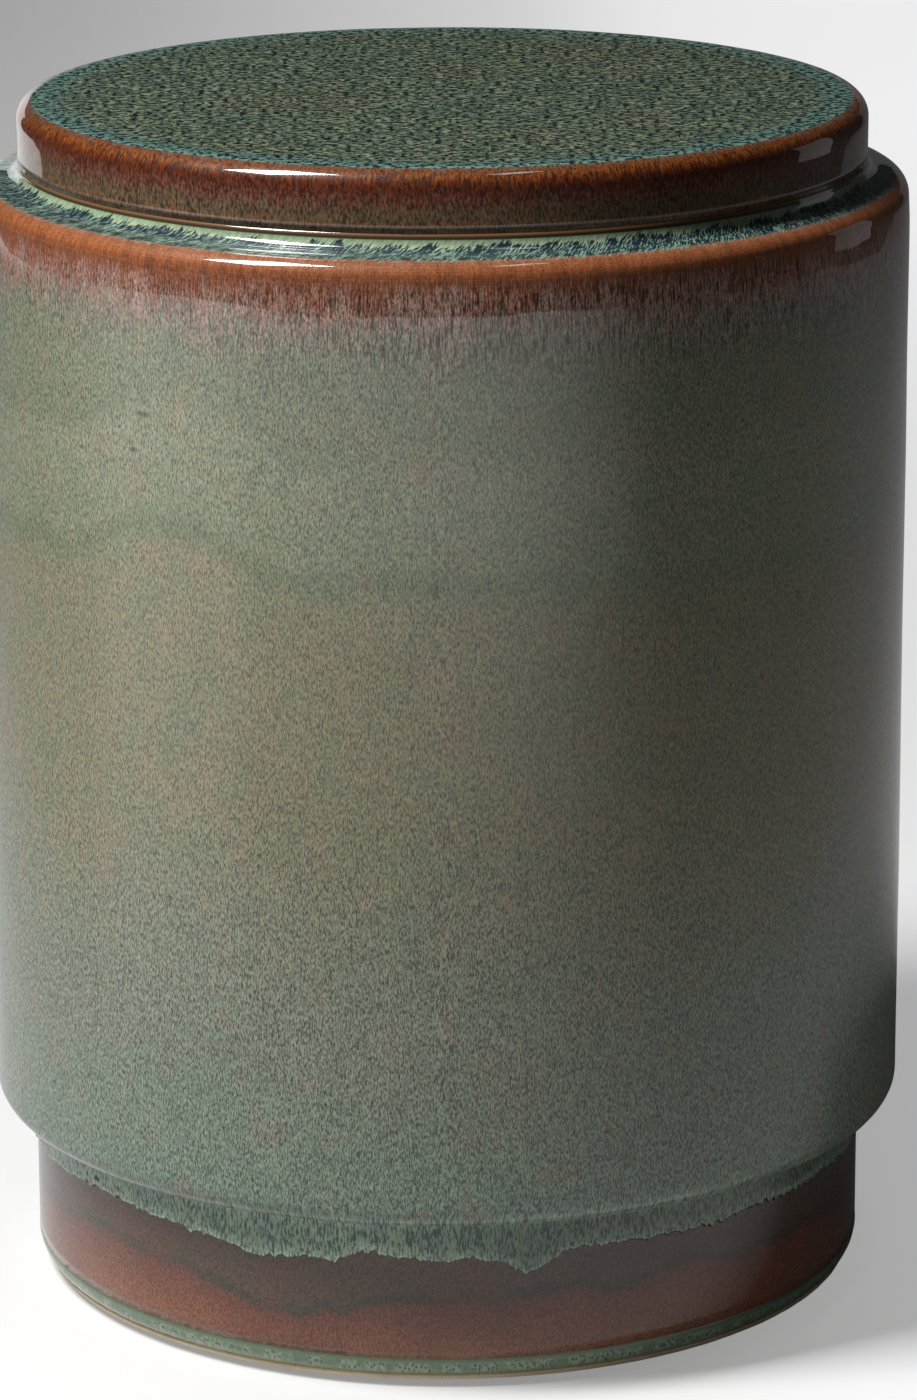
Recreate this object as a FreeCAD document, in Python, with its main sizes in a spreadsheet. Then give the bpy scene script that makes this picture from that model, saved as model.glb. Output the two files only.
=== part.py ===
"""Ceramic garden stool: a hollow stoneware drum on a plinth, with a raised seat cap.

The clay body is four sections luted together while leather-hard: seat cap, shoulder ring, drum wall
and plinth ring, with a coil of clay pressed into the inside corner of each seam. Coats of glaze cover
it, and the drum's glaze has run over the plinth in a skirt of drips. Four felt pads carry the foot.

Millimetres. The origin is on the floor under the middle of the stool, +Z is up, and -Y is the front.
"""
import FreeCAD, Part
import math
import os

import Sketcher

doc = FreeCAD.newDocument("garden_stool")

# Driving sizes. Diameters and heights are taken over the glaze, because that is what a rule touches.
DRIVING_SIZES = [
    ("drum_diameter", 354.0, "widest part of the stool"),
    ("cap_setback", 16.0, "how far the seat cap's side stands in from the drum's"),
    ("plinth_setback", 15.0, "how far the plinth's side stands in from the drum's"),
    ("body_height", 457.5, "foot to seat, without the felt pads"),
    ("cap_rise", 31.0, "seat above the outer edge of the shoulder"),
    ("shoulder_fall", 2.5, "drop of the shoulder from the cap to its outer edge"),
    ("plinth_height", 65.5, "foot to the underside of the drum"),
    ("wall", 8.0, "thickness of the clay walls and rings"),
    ("seat_thickness", 11.0, "thickness of the clay seat"),
    ("foot_thickness", 10.0, "height of the clay foot ring"),
    ("foot_land", 26.0, "width of the flat that the pads are stuck to"),
    ("seam_ledge", 10.0, "how far a ring reaches in past the wall that stands on or hangs from it"),
    ("coil_setback", 1.0, "bare strip between a seam coil and the ledge's edge"),
    ("coil_edge", 1.0, "thickness of a seam coil where it is smeared out"),
    ("cap_arris", 7.5, "rounding of the seat's edge"),
    ("shoulder_arris", 7.0, "rounding of the drum's upper edge"),
    ("heel_round", 8.0, "rounding of the drum's lower edge"),
    ("foot_round", 9.0, "rounding of the plinth's lower edge"),
    ("glaze_coat", 0.8, "thickness of a coat of glaze"),
    ("cove", 5.0, "radius of the glaze pooled between cap and shoulder"),
    ("cove_lap", 0.6, "straight lap of that glaze up the cap's wall above the cove"),
    ("bare_rim", 2.2, "height of the unglazed clay at the foot"),
    ("foot_glaze_height", 10.5, "top of the dipped green glaze above the foot"),
    ("run_thickness", 1.2, "how far the run stands out from the plinth's own glaze"),
    ("run_pool", 2.6, "width and height of the run's pool under the drum"),
    ("run_drop", 15.5, "mean length of the drips under the drum"),
    ("run_swing", 2.0, "how much longer the drips are at the front and back than at the sides"),
    ("run_ripple", 3.0, "how much neighbouring drips differ"),
    ("run_turn", 18.0, "turn of the longest drips from the front, in degrees"),
    ("run_collar", 4.0, "height of the run's unbroken collar above the drips"),
    ("drip_spacing", 19.0, "spacing of the drips round the plinth"),
    ("drip_overlap", 1.25, "width of a drip as a share of its spacing"),
    ("pad_count", 4, "felt pads"),
    ("pad_diameter", 19.0, "felt pad"),
    ("pad_thickness", 2.1, "felt of a pad"),
    ("pad_bevel", 0.4, "worn lower edge of a pad"),
    ("adhesive_thickness", 0.3, "adhesive disc on a pad"),
    ("pad_inset", 4.8, "pad's edge from the outer edge of the flat land"),
    ("pad_turn", -11.5, "turn of the first pad from the front, in degrees"),
]
sizes = doc.addObject("Spreadsheet::Sheet", "Sizes")
for row, (alias, value, meaning) in enumerate(DRIVING_SIZES, start=1):
    sizes.set(f"A{row}", meaning)
    sizes.set(f"B{row}", str(value))
    sizes.setAlias(f"B{row}", alias)
doc.recompute()


def number(expression):
    """The value of an expression on the sheet."""
    return float(sizes.evalExpression(expression))


# Radii worked out from the driving sizes, as expressions. The word clay marks a face under the glaze.
DRUM = "Sizes.drum_diameter / 2"
DRUM_CLAY = f"({DRUM} - Sizes.glaze_coat)"
DRUM_BORE = f"({DRUM_CLAY} - Sizes.wall)"
CAP = f"({DRUM} - Sizes.cap_setback)"
CAP_CLAY = f"({CAP} - Sizes.glaze_coat)"
CAP_BORE = f"({CAP_CLAY} - Sizes.wall)"
SHOULDER_HOLE = f"({CAP_BORE} - Sizes.seam_ledge)"
PLINTH = f"({DRUM} - Sizes.plinth_setback)"
PLINTH_CLAY = f"({PLINTH} - Sizes.glaze_coat)"
PLINTH_BORE = f"({PLINTH_CLAY} - Sizes.wall)"
HEEL_HOLE = f"({PLINTH_BORE} - Sizes.seam_ledge)"
COIL_LEG = "(Sizes.seam_ledge - Sizes.coil_setback)"
RUN_FACE = f"({PLINTH} + Sizes.run_thickness)"

# Roundings. A clay edge is rounded no further than the ring that carries it is thick, and the glaze
# over it keeps its own thickness all round the edge.
CAP_ARRIS_CLAY = "min(Sizes.cap_arris - Sizes.glaze_coat; 0.9 * Sizes.seat_thickness)"
SHOULDER_ARRIS_CLAY = "min(Sizes.shoulder_arris - Sizes.glaze_coat; 0.9 * Sizes.wall)"
HEEL_ROUND_CLAY = "min(Sizes.heel_round - Sizes.glaze_coat; 0.95 * Sizes.wall)"
FOOT_ROUND_CLAY = "min(Sizes.foot_round - Sizes.glaze_coat; 0.9 * Sizes.foot_thickness)"
FOOT_LAND_EDGE = f"({PLINTH_CLAY} - {FOOT_ROUND_CLAY})"
FOOT_MOUTH = f"({FOOT_LAND_EDGE} - Sizes.foot_land)"

# Levels above the floor.
PAD_TOP = "Sizes.pad_thickness"
FOOT = f"({PAD_TOP} + Sizes.adhesive_thickness)"
FOOT_TOP = f"({FOOT} + Sizes.foot_thickness)"
BARE_RIM_TOP = f"({FOOT} + Sizes.bare_rim)"
FOOT_GLAZE_TOP = f"({FOOT} + Sizes.foot_glaze_height)"
HEEL = f"({FOOT} + Sizes.plinth_height)"
HEEL_CLAY = f"({HEEL} + Sizes.glaze_coat)"
HEEL_TOP = f"({HEEL_CLAY} + Sizes.wall)"
SEAT = f"({FOOT} + Sizes.body_height)"
SEAT_CLAY = f"({SEAT} - Sizes.glaze_coat)"
SEAT_UNDERSIDE = f"({SEAT_CLAY} - Sizes.seat_thickness)"
SHOULDER_EDGE = f"({SEAT} - Sizes.cap_rise)"
SHOULDER_EDGE_CLAY = f"({SHOULDER_EDGE} - Sizes.glaze_coat)"
SHOULDER_UNDERSIDE = f"({SHOULDER_EDGE_CLAY} - Sizes.wall)"
SHOULDER_ROOT = f"({SHOULDER_EDGE} + Sizes.shoulder_fall)"
SHOULDER_ROOT_CLAY = f"({SHOULDER_ROOT} - Sizes.glaze_coat)"
COVE_TOP = f"({SHOULDER_ROOT} + Sizes.cove + Sizes.cove_lap)"

SAME_PLACE = 0.01
sub_parts = []


def origin_plane(body, role):
    """One of a body's own origin planes."""
    return next(plane for plane in body.Origin.OriginFeatures if plane.Role == role)


def new_body(label):
    """An empty body that becomes one piece of the stool."""
    body = doc.addObject("PartDesign::Body", label)
    body.Label = label
    sub_parts.append(body)
    return body


def profile_sketch(body, name, corners):
    """A closed outline of straight sides. A corner is a radius and a level, each an expression."""
    sketch = body.newObject("Sketcher::SketchObject", name)
    sketch.AttachmentSupport = [(origin_plane(body, "XZ_Plane"), "")]
    sketch.MapMode = "FlatFace"
    places = [FreeCAD.Vector(number(radius), number(level), 0) for radius, level in corners]
    count = len(corners)
    for side in range(count):
        sketch.addGeometry(Part.LineSegment(places[side], places[(side + 1) % count]))
    for side in range(count):
        sketch.addConstraint(Sketcher.Constraint("Coincident", side, 2, (side + 1) % count, 1))
    for side, (radius, level) in enumerate(corners):
        if radius == "0":
            sketch.addConstraint(Sketcher.Constraint("PointOnObject", side, 1, -2))
        else:
            across = sketch.addConstraint(
                Sketcher.Constraint("DistanceX", -1, 1, side, 1, places[side].x))
            sketch.renameConstraint(across, f"radius_{side}")
            sketch.setExpression(f"Constraints.radius_{side}", radius)
        up = sketch.addConstraint(Sketcher.Constraint("DistanceY", -1, 1, side, 1, places[side].y))
        sketch.renameConstraint(up, f"level_{side}")
        sketch.setExpression(f"Constraints.level_{side}", level)
    return sketch


def turned_body(label, corners):
    """A piece turned on the wheel: its outline spun once round the stool's axis."""
    body = new_body(label)
    sketch = profile_sketch(body, f"{label}_outline", corners)
    spun = body.newObject("PartDesign::Revolution", f"{label}_spun")
    spun.Profile = sketch
    spun.ReferenceAxis = (sketch, ["V_Axis"])
    spun.Angle = 360
    sketch.Visibility = False
    doc.recompute()
    return body


def ring_edge(shape, radius, level):
    """The name of the circular edge that runs round the axis at a radius and a level."""
    for index, edge in enumerate(shape.Edges, start=1):
        curve = edge.Curve
        if not isinstance(curve, Part.Circle):
            continue
        if abs(curve.Radius - radius) < SAME_PLACE and abs(curve.Center.z - level) < SAME_PLACE:
            return f"Edge{index}"
    raise ValueError(f"no edge at radius {radius:.2f} and level {level:.2f}")


def round_edge(body, name, corner, radius):
    """Round the edge that a corner of the outline made."""
    base = body.Tip
    edge = ring_edge(base.Shape, number(corner[0]), number(corner[1]))
    fillet = body.newObject("PartDesign::Fillet", name)
    fillet.Base = (base, [edge])
    fillet.setExpression("Radius", radius)
    doc.recompute()


# Clay sections, from the seat down. Each stands flat on the next, as it was luted.
seat_corner = (CAP_CLAY, SEAT_CLAY)
seat_cap = turned_body("seat_cap", [
    ("0", SEAT_UNDERSIDE),
    (CAP_BORE, SEAT_UNDERSIDE),
    (CAP_BORE, SHOULDER_ROOT_CLAY),
    (CAP_CLAY, SHOULDER_ROOT_CLAY),
    seat_corner,
    ("0", SEAT_CLAY),
])
round_edge(seat_cap, "seat_cap_arris", seat_corner, CAP_ARRIS_CLAY)

shoulder_corner = (DRUM_CLAY, SHOULDER_EDGE_CLAY)
shoulder_ring = turned_body("shoulder_ring", [
    (SHOULDER_HOLE, SHOULDER_UNDERSIDE),
    (DRUM_CLAY, SHOULDER_UNDERSIDE),
    shoulder_corner,
    (CAP_CLAY, SHOULDER_ROOT_CLAY),
    (SHOULDER_HOLE, SHOULDER_ROOT_CLAY),
])
round_edge(shoulder_ring, "shoulder_ring_arris", shoulder_corner, SHOULDER_ARRIS_CLAY)

heel_corner = (DRUM_CLAY, HEEL_CLAY)
drum_wall = turned_body("drum_wall", [
    (HEEL_HOLE, HEEL_CLAY),
    heel_corner,
    (DRUM_CLAY, SHOULDER_UNDERSIDE),
    (DRUM_BORE, SHOULDER_UNDERSIDE),
    (DRUM_BORE, HEEL_TOP),
    (HEEL_HOLE, HEEL_TOP),
])
round_edge(drum_wall, "drum_wall_heel", heel_corner, HEEL_ROUND_CLAY)

foot_corner = (PLINTH_CLAY, FOOT)
plinth_ring = turned_body("plinth_ring", [
    (FOOT_MOUTH, FOOT),
    foot_corner,
    (PLINTH_CLAY, HEEL_CLAY),
    (PLINTH_BORE, HEEL_CLAY),
    (PLINTH_BORE, FOOT_TOP),
    (FOOT_MOUTH, FOOT_TOP),
])
round_edge(plinth_ring, "plinth_ring_foot", foot_corner, FOOT_ROUND_CLAY)


def seam_coil(label, wall_radius, ledge_level, side):
    """A coil of clay smeared into the corner between a wall and a ring, on the side given."""
    turned_body(label, [
        (wall_radius, ledge_level),
        (wall_radius, f"{ledge_level} {side} {COIL_LEG}"),
        (f"{wall_radius} - Sizes.coil_edge", f"{ledge_level} {side} {COIL_LEG}"),
        (f"{wall_radius} - {COIL_LEG}", f"{ledge_level} {side} Sizes.coil_edge"),
        (f"{wall_radius} - {COIL_LEG}", ledge_level),
    ])


# Seam coils, inside the stool: above the shoulder ring, below it, and below the drum's heel.
seam_coil("cap_seam_coil", CAP_BORE, SHOULDER_ROOT_CLAY, "+")
seam_coil("shoulder_seam_coil", DRUM_BORE, SHOULDER_UNDERSIDE, "-")
seam_coil("plinth_seam_coil", PLINTH_BORE, HEEL_CLAY, "-")

# Glaze coats. The inner face of each is the clay's own face, and the outer one lies a coat further out.
seat_glaze_corner = (CAP, SEAT)
seat_glaze = turned_body("seat_glaze", [
    ("0", SEAT_CLAY),
    seat_corner,
    (CAP_CLAY, COVE_TOP),
    (CAP, COVE_TOP),
    seat_glaze_corner,
    ("0", SEAT),
])
round_edge(seat_glaze, "seat_glaze_inner_arris", seat_corner, CAP_ARRIS_CLAY)
round_edge(seat_glaze, "seat_glaze_arris", seat_glaze_corner, f"{CAP_ARRIS_CLAY} + Sizes.glaze_coat")

cove_corner = (CAP, SHOULDER_ROOT)
shoulder_glaze_corner = (DRUM, SHOULDER_EDGE)
heel_glaze_corner = (DRUM, HEEL)
drum_glaze = turned_body("drum_glaze", [
    (CAP_CLAY, COVE_TOP),
    (CAP_CLAY, SHOULDER_ROOT_CLAY),
    shoulder_corner,
    heel_corner,
    (PLINTH_CLAY, HEEL_CLAY),
    (PLINTH_CLAY, HEEL),
    heel_glaze_corner,
    shoulder_glaze_corner,
    cove_corner,
    (CAP, COVE_TOP),
])
round_edge(drum_glaze, "drum_glaze_inner_arris", shoulder_corner, SHOULDER_ARRIS_CLAY)
round_edge(drum_glaze, "drum_glaze_inner_heel", heel_corner, HEEL_ROUND_CLAY)
round_edge(drum_glaze, "drum_glaze_heel", heel_glaze_corner, f"{HEEL_ROUND_CLAY} + Sizes.glaze_coat")
round_edge(drum_glaze, "drum_glaze_arris", shoulder_glaze_corner,
           f"{SHOULDER_ARRIS_CLAY} + Sizes.glaze_coat")
round_edge(drum_glaze, "drum_glaze_cove", cove_corner, "Sizes.cove")

turned_body("plinth_glaze", [
    (PLINTH_CLAY, FOOT_GLAZE_TOP),
    (PLINTH, FOOT_GLAZE_TOP),
    (PLINTH, HEEL),
    (PLINTH_CLAY, HEEL),
])

# The dipped glaze wraps the rounded lower edge and is wiped off the foot, which leaves the rim bare.
dip_edge = f"({FOOT_LAND_EDGE} - Sizes.glaze_coat)"
dip_corner = (PLINTH, f"({FOOT} - Sizes.glaze_coat)")
foot_glaze = turned_body("foot_glaze", [
    (dip_edge, dip_corner[1]),
    dip_corner,
    (PLINTH, FOOT_GLAZE_TOP),
    (PLINTH_CLAY, FOOT_GLAZE_TOP),
    foot_corner,
    (dip_edge, FOOT),
])
round_edge(foot_glaze, "foot_glaze_inner_round", foot_corner, FOOT_ROUND_CLAY)
round_edge(foot_glaze, "foot_glaze_round", dip_corner, f"{FOOT_ROUND_CLAY} + Sizes.glaze_coat")
unwiped_volume = foot_glaze.Shape.Volume
wiped_outline = profile_sketch(foot_glaze, "foot_glaze_wiped_outline", [
    (f"{FOOT_LAND_EDGE} - Sizes.wall", f"{FOOT} - 2 * Sizes.glaze_coat"),
    (f"{PLINTH} + Sizes.wall", f"{FOOT} - 2 * Sizes.glaze_coat"),
    (f"{PLINTH} + Sizes.wall", BARE_RIM_TOP),
    (f"{FOOT_LAND_EDGE} - Sizes.wall", BARE_RIM_TOP),
])
wiped = foot_glaze.newObject("PartDesign::Groove", "foot_glaze_wiped")
wiped.Profile = wiped_outline
wiped.ReferenceAxis = (wiped_outline, ["V_Axis"])
wiped.Angle = 360
wiped_outline.Visibility = False
doc.recompute()
if foot_glaze.Shape.Volume >= unwiped_volume:
    raise ValueError("wiping the foot removed no glaze")

# The run: a skirt of the drum's glaze that flowed over the plinth. Its blank is a band with a small
# pool in the corner under the drum. What stays of it is an unbroken collar and tongues with round tips.
run_reach = "(Sizes.run_drop + Sizes.run_swing + Sizes.run_ripple)"
run_band = turned_body("run_band", [
    (PLINTH, f"{HEEL} - {run_reach} - Sizes.run_thickness"),
    (RUN_FACE, f"{HEEL} - {run_reach} - Sizes.run_thickness"),
    (RUN_FACE, f"{HEEL} - Sizes.run_pool"),
    (f"{RUN_FACE} + Sizes.run_pool", HEEL),
    (PLINTH, HEEL),
])
sub_parts.remove(run_band)

GOLDEN_TURN = 137.5


def drip_drop(index, angle):
    """How far a drip's tip hangs under the drum: two slow swells round the stool and a ripple."""
    swell = number("Sizes.run_swing") * math.cos(2 * math.radians(angle - number("Sizes.run_turn")))
    ripple = number("Sizes.run_ripple") * math.sin(math.radians(GOLDEN_TURN * index))
    return number("Sizes.run_drop") + swell + ripple


def drip_tongue(index, count):
    """A tongue that stands through the band: straight sides, a round tip, its top above the band."""
    angle = 360.0 * index / count
    half_width = number(f"{RUN_FACE}") * math.pi / count * number("Sizes.drip_overlap")
    tip = number(HEEL) - drip_drop(index, angle)
    top = number(HEEL) + half_width
    near = -number(f"{PLINTH} - Sizes.wall")
    depth = number(f"Sizes.wall + Sizes.run_thickness + Sizes.run_pool + Sizes.wall")
    left_top = FreeCAD.Vector(-half_width, near, top)
    left = FreeCAD.Vector(-half_width, near, tip + half_width)
    bottom = FreeCAD.Vector(0, near, tip)
    right = FreeCAD.Vector(half_width, near, tip + half_width)
    right_top = FreeCAD.Vector(half_width, near, top)
    outline = Part.Wire([
        Part.LineSegment(left_top, left).toShape(),
        Part.Arc(left, bottom, right).toShape(),
        Part.LineSegment(right, right_top).toShape(),
        Part.LineSegment(right_top, left_top).toShape(),
    ])
    tongue = Part.Face(outline).extrude(FreeCAD.Vector(0, -depth, 0))
    tongue.rotate(FreeCAD.Vector(0, 0, 0), FreeCAD.Vector(0, 0, 1), angle)
    return tongue


drip_count = round(2 * math.pi * number(RUN_FACE) / number("Sizes.drip_spacing"))
tongues = [drip_tongue(index, drip_count) for index in range(drip_count)]
collar = Part.makeCylinder(number(f"{RUN_FACE} + Sizes.run_pool + Sizes.wall"),
                           number("Sizes.run_collar + Sizes.wall"),
                           FreeCAD.Vector(0, 0, number(f"{HEEL} - Sizes.run_collar")))
drips = doc.addObject("Part::Feature", "drips")
drips.Shape = collar.multiFuse(tongues)
glaze_run = doc.addObject("Part::Common", "glaze_run")
glaze_run.Label = "glaze_run"
glaze_run.Base = run_band
glaze_run.Tool = drips
sub_parts.append(glaze_run)
doc.recompute()


def disc_body(label, level, thickness):
    """A round disc of the pad's diameter, its lower face at a level."""
    body = new_body(label)
    sketch = body.newObject("Sketcher::SketchObject", f"{label}_outline")
    sketch.AttachmentSupport = [(origin_plane(body, "XY_Plane"), "")]
    sketch.MapMode = "FlatFace"
    sketch.addGeometry(Part.Circle(FreeCAD.Vector(0, 0, 0), FreeCAD.Vector(0, 0, 1),
                                   number("Sizes.pad_diameter / 2")))
    sketch.addConstraint(Sketcher.Constraint("Coincident", 0, 3, -1, 1))
    across = sketch.addConstraint(Sketcher.Constraint("Diameter", 0, number("Sizes.pad_diameter")))
    sketch.renameConstraint(across, "diameter")
    sketch.setExpression("Constraints.diameter", "Sizes.pad_diameter")
    disc = body.newObject("PartDesign::Pad", f"{label}_disc")
    disc.Profile = sketch
    disc.setExpression("Length", thickness)
    sketch.Visibility = False
    body.setExpression("Placement.Base.z", level)
    doc.recompute()
    return body


# Felt pads and the adhesive discs that hold them, evenly round the foot's flat land.
PAD_CIRCLE = f"({FOOT_LAND_EDGE} - Sizes.pad_inset - Sizes.pad_diameter / 2)"
pad_count = round(number("Sizes.pad_count"))
for index in range(pad_count):
    turn = f"(Sizes.pad_turn + {index} * 360 / Sizes.pad_count)"
    pad = disc_body(f"foot_pad_{index + 1}", "0", "Sizes.pad_thickness")
    disc = pad.Tip
    lower_edge = ring_edge(disc.Shape, number("Sizes.pad_diameter / 2"), 0)
    bevel = pad.newObject("PartDesign::Chamfer", f"foot_pad_{index + 1}_bevel")
    bevel.Base = (disc, [lower_edge])
    bevel.setExpression("Size", "Sizes.pad_bevel")
    adhesive = disc_body(f"pad_adhesive_{index + 1}", PAD_TOP, "Sizes.adhesive_thickness")
    for body in (pad, adhesive):
        body.setExpression("Placement.Base.x", f"{PAD_CIRCLE} * sin({turn})")
        body.setExpression("Placement.Base.y", f"-{PAD_CIRCLE} * cos({turn})")
doc.recompute()

# Every feature must have been made, and every piece must be one sound solid, before any is written.
for feature in doc.Objects:
    if "Invalid" in feature.State or "Error" in feature.State:
        raise ValueError(f"{feature.Label} could not be made: {feature.State}")
for piece in sub_parts:
    if piece.Shape.isNull() or not piece.Shape.isValid() or len(piece.Shape.Solids) != 1:
        raise ValueError(f"{piece.Label} is not one sound solid")

os.makedirs("parts", exist_ok=True)
for piece in sub_parts:
    piece.Shape.exportStep(f"parts/{piece.Label}.step")
    print(f"{piece.Label}: {piece.Shape.Volume / 1000:.1f} cm3")
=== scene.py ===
"""Looks of a glazed stoneware garden stool: clay, seam coils, glazes, the run of glaze and felt pads.

Metres. The origin is on the floor under the middle of the stool, +Z is up, and -Y is the front.
Angles round the stool are in degrees from the front, positive to the right.
"""

import math

import bmesh
import bpy
from mathutils import Matrix, Vector, noise


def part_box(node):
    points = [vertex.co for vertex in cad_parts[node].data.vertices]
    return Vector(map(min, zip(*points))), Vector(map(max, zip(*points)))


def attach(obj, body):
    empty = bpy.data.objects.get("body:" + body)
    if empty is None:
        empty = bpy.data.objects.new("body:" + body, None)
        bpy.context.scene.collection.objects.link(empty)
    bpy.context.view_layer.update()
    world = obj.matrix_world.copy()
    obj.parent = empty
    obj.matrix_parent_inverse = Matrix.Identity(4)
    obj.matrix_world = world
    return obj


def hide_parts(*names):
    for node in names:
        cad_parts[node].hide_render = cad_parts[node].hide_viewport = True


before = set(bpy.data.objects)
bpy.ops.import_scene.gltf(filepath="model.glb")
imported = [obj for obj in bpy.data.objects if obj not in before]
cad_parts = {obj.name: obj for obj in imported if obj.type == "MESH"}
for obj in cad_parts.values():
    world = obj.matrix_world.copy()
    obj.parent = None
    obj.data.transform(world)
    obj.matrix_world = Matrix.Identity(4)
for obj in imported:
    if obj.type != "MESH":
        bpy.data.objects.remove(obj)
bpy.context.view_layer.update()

# Camera. It stands 2.2 m in front of the stool, a little above it, and looks down at it with a long
# lens, level but for a quarter of a degree. The picture is 917 pixels wide and 1400 high.
PICTURE_HEIGHT = 1400
FOCAL_LENGTH = 5877.9
FILM = 36
CAMERA_PLACE = Vector((0.00524, -2.2015, 0.8385))
LOOKS_DOWN = 15.66
LEANS = 0.237

camera_data = bpy.data.cameras.new("camera")
camera_data.sensor_width = FILM
camera_data.lens = FILM * FOCAL_LENGTH / PICTURE_HEIGHT
camera = bpy.data.objects.new("camera", camera_data)
camera.matrix_world = (Matrix.Translation(CAMERA_PLACE)
                       @ Matrix.Rotation(math.radians(90 - LOOKS_DOWN), 4, "X")
                       @ Matrix.Rotation(math.radians(-LEANS), 4, "Z"))
bpy.context.scene.collection.objects.link(camera)
bpy.context.scene.camera = camera
bpy.context.scene.view_settings.view_transform = "Standard"


# Clay body. Four sections of pale stoneware, turned and pressed, luted together while leather-hard, with
# a coil of clay smeared into each seam. It shows bare at the foot, where the glaze was wiped off.
MM = 0.001


def new_finish(name, roughness):
    """A material with one Principled shader. Gives the material and the shader."""
    material = bpy.data.materials.new(name)
    material.use_nodes = True
    shader = material.node_tree.nodes["Principled BSDF"]
    shader.inputs["Roughness"].default_value = roughness
    return material, shader


def add_node(tree, kind, inputs, **settings):
    """A node with its settings made and its inputs set to numbers or joined to other nodes."""
    node = tree.nodes.new(kind)
    for name, value in settings.items():
        setattr(node, name, value)
    for name, value in inputs.items():
        if hasattr(value, "is_output"):
            tree.links.new(value, node.inputs[name])
        elif value is not None:
            node.inputs[name].default_value = value
    return node


def sums(tree, operation, first, second=0.0, third=0.0):
    """One step of arithmetic."""
    return add_node(tree, "ShaderNodeMath", {0: first, 1: second, 2: third}, operation=operation).outputs[0]


def fade(tree, value, start, end, low=0.0, high=1.0):
    """Goes smoothly from low to high while the value goes from start to end."""
    inputs = {"Value": value, "From Min": start, "From Max": end, "To Min": low, "To Max": high}
    return add_node(tree, "ShaderNodeMapRange", inputs, interpolation_type="SMOOTHSTEP").outputs[0]


def mottle(tree, where, size, detail=2.0, roughness=0.5, warp=0.0):
    """Cloudy noise from 0 to 1 with blots of about the size given, in metres."""
    inputs = {"Vector": where, "Scale": 1 / size, "Detail": detail, "Roughness": roughness,
              "Distortion": warp}
    return add_node(tree, "ShaderNodeTexNoise", inputs).outputs["Fac"]


def paint(*levels):
    """A colour as it is seen on a screen, from 0 to 255, as the light that it sends back."""
    light = [((level / 255 + 0.055) / 1.055) ** 2.4 if level > 10 else level / 3295 for level in levels]
    return (*light, 1.0)


def tint(tree, share, under, over, blend="MIX"):
    """Lays the colour over on the colour under, by a share from 0 to 1."""
    node = add_node(tree, "ShaderNodeMix", {}, data_type="RGBA", blend_type=blend)
    for socket, value in ((node.inputs[0], share), (node.inputs[6], under), (node.inputs[7], over)):
        if hasattr(value, "is_output"):
            tree.links.new(value, socket)
        else:
            socket.default_value = value
    return node.outputs[2]


def bands(tree, value, stops):
    """Colours along a value: stops are (value, colour), from the lowest to the highest."""
    start, end = stops[0][0], stops[-1][0]
    share = add_node(tree, "ShaderNodeMapRange", {"Value": value, "From Min": start, "From Max": end})
    node = add_node(tree, "ShaderNodeValToRGB", {"Fac": share.outputs[0]})
    elements = node.color_ramp.elements
    while len(elements) < len(stops):
        elements.new(0.5)
    for element, (place, colour) in zip(elements, stops):
        element.position = (place - start) / (end - start)
        element.color = colour
    return node.outputs["Color"]


def shade(tree, colour, value, start, end, low, high):
    """Makes a colour darker or lighter: times low at the start of the value and times high at its end."""
    return tint(tree, 1.0, colour, fade(tree, value, start, end, low, high), "MULTIPLY")


def relief(tree, height, depth):
    """The surface raised by the height, which goes from 0 to 1, by the depth in metres."""
    inputs = {"Height": height, "Distance": depth, "Strength": 1.0}
    return add_node(tree, "ShaderNodeBump", inputs).outputs["Normal"]


stoneware, shader = new_finish("stoneware", 0.85)
tree = stoneware.node_tree
where = add_node(tree, "ShaderNodeTexCoord", {}).outputs["Object"]
grog = mottle(tree, where, 0.8 * MM, 3, 0.7)
cloud = mottle(tree, where, 18 * MM, 3)
clay_colour = tint(tree, fade(tree, cloud, 0.35, 0.7), paint(246, 228, 198), paint(236, 214, 180))
clay_colour = tint(tree, fade(tree, grog, 0.58, 0.72), clay_colour, paint(188, 152, 112))
clay_colour = tint(tree, fade(tree, grog, 0.36, 0.28), clay_colour, paint(243, 230, 208))
tree.links.new(clay_colour, shader.inputs["Base Color"])
tree.links.new(fade(tree, grog, 0.2, 0.8, 0.95, 0.7), shader.inputs["Roughness"])
tree.links.new(relief(tree, grog, 0.12 * MM), shader.inputs["Normal"])
for node in ("seat_cap", "shoulder_ring", "drum_wall", "plinth_ring",
             "cap_seam_coil", "shoulder_seam_coil", "plinth_seam_coil"):
    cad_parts[node].data.materials.clear()
    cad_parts[node].data.materials.append(stoneware)


# Drum glaze. The thick coat on the drum and its shoulder, pooled to a pale cove under the cap. It broke
# rust on the edge, streaked down the wall in hairs, and pulled green and olive clouds lower down.
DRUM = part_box("drum_glaze")[1].x
DRUM_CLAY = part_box("drum_wall")[1].x
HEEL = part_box("drum_glaze")[0].z
HEEL_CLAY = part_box("drum_wall")[0].z
COVE_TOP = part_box("drum_glaze")[1].z
SHOULDER_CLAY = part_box("shoulder_ring")[1].z
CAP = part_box("seat_glaze")[1].x
CAP_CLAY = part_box("seat_cap")[1].x
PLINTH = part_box("plinth_glaze")[1].x
PLINTH_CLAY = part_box("plinth_ring")[1].x
COAT = DRUM - DRUM_CLAY
SHOULDER_ROOT = SHOULDER_CLAY + COAT
SHOULDER_FALL = 2.5 * MM
SHOULDER_EDGE = SHOULDER_ROOT - SHOULDER_FALL
SHOULDER_ARRIS = 7 * MM
HEEL_ROUND = 8 * MM
COVE = 5 * MM
WHEEL_STEPS = 640
GORES = 16
CALMED_SHARE = 0.7


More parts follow.
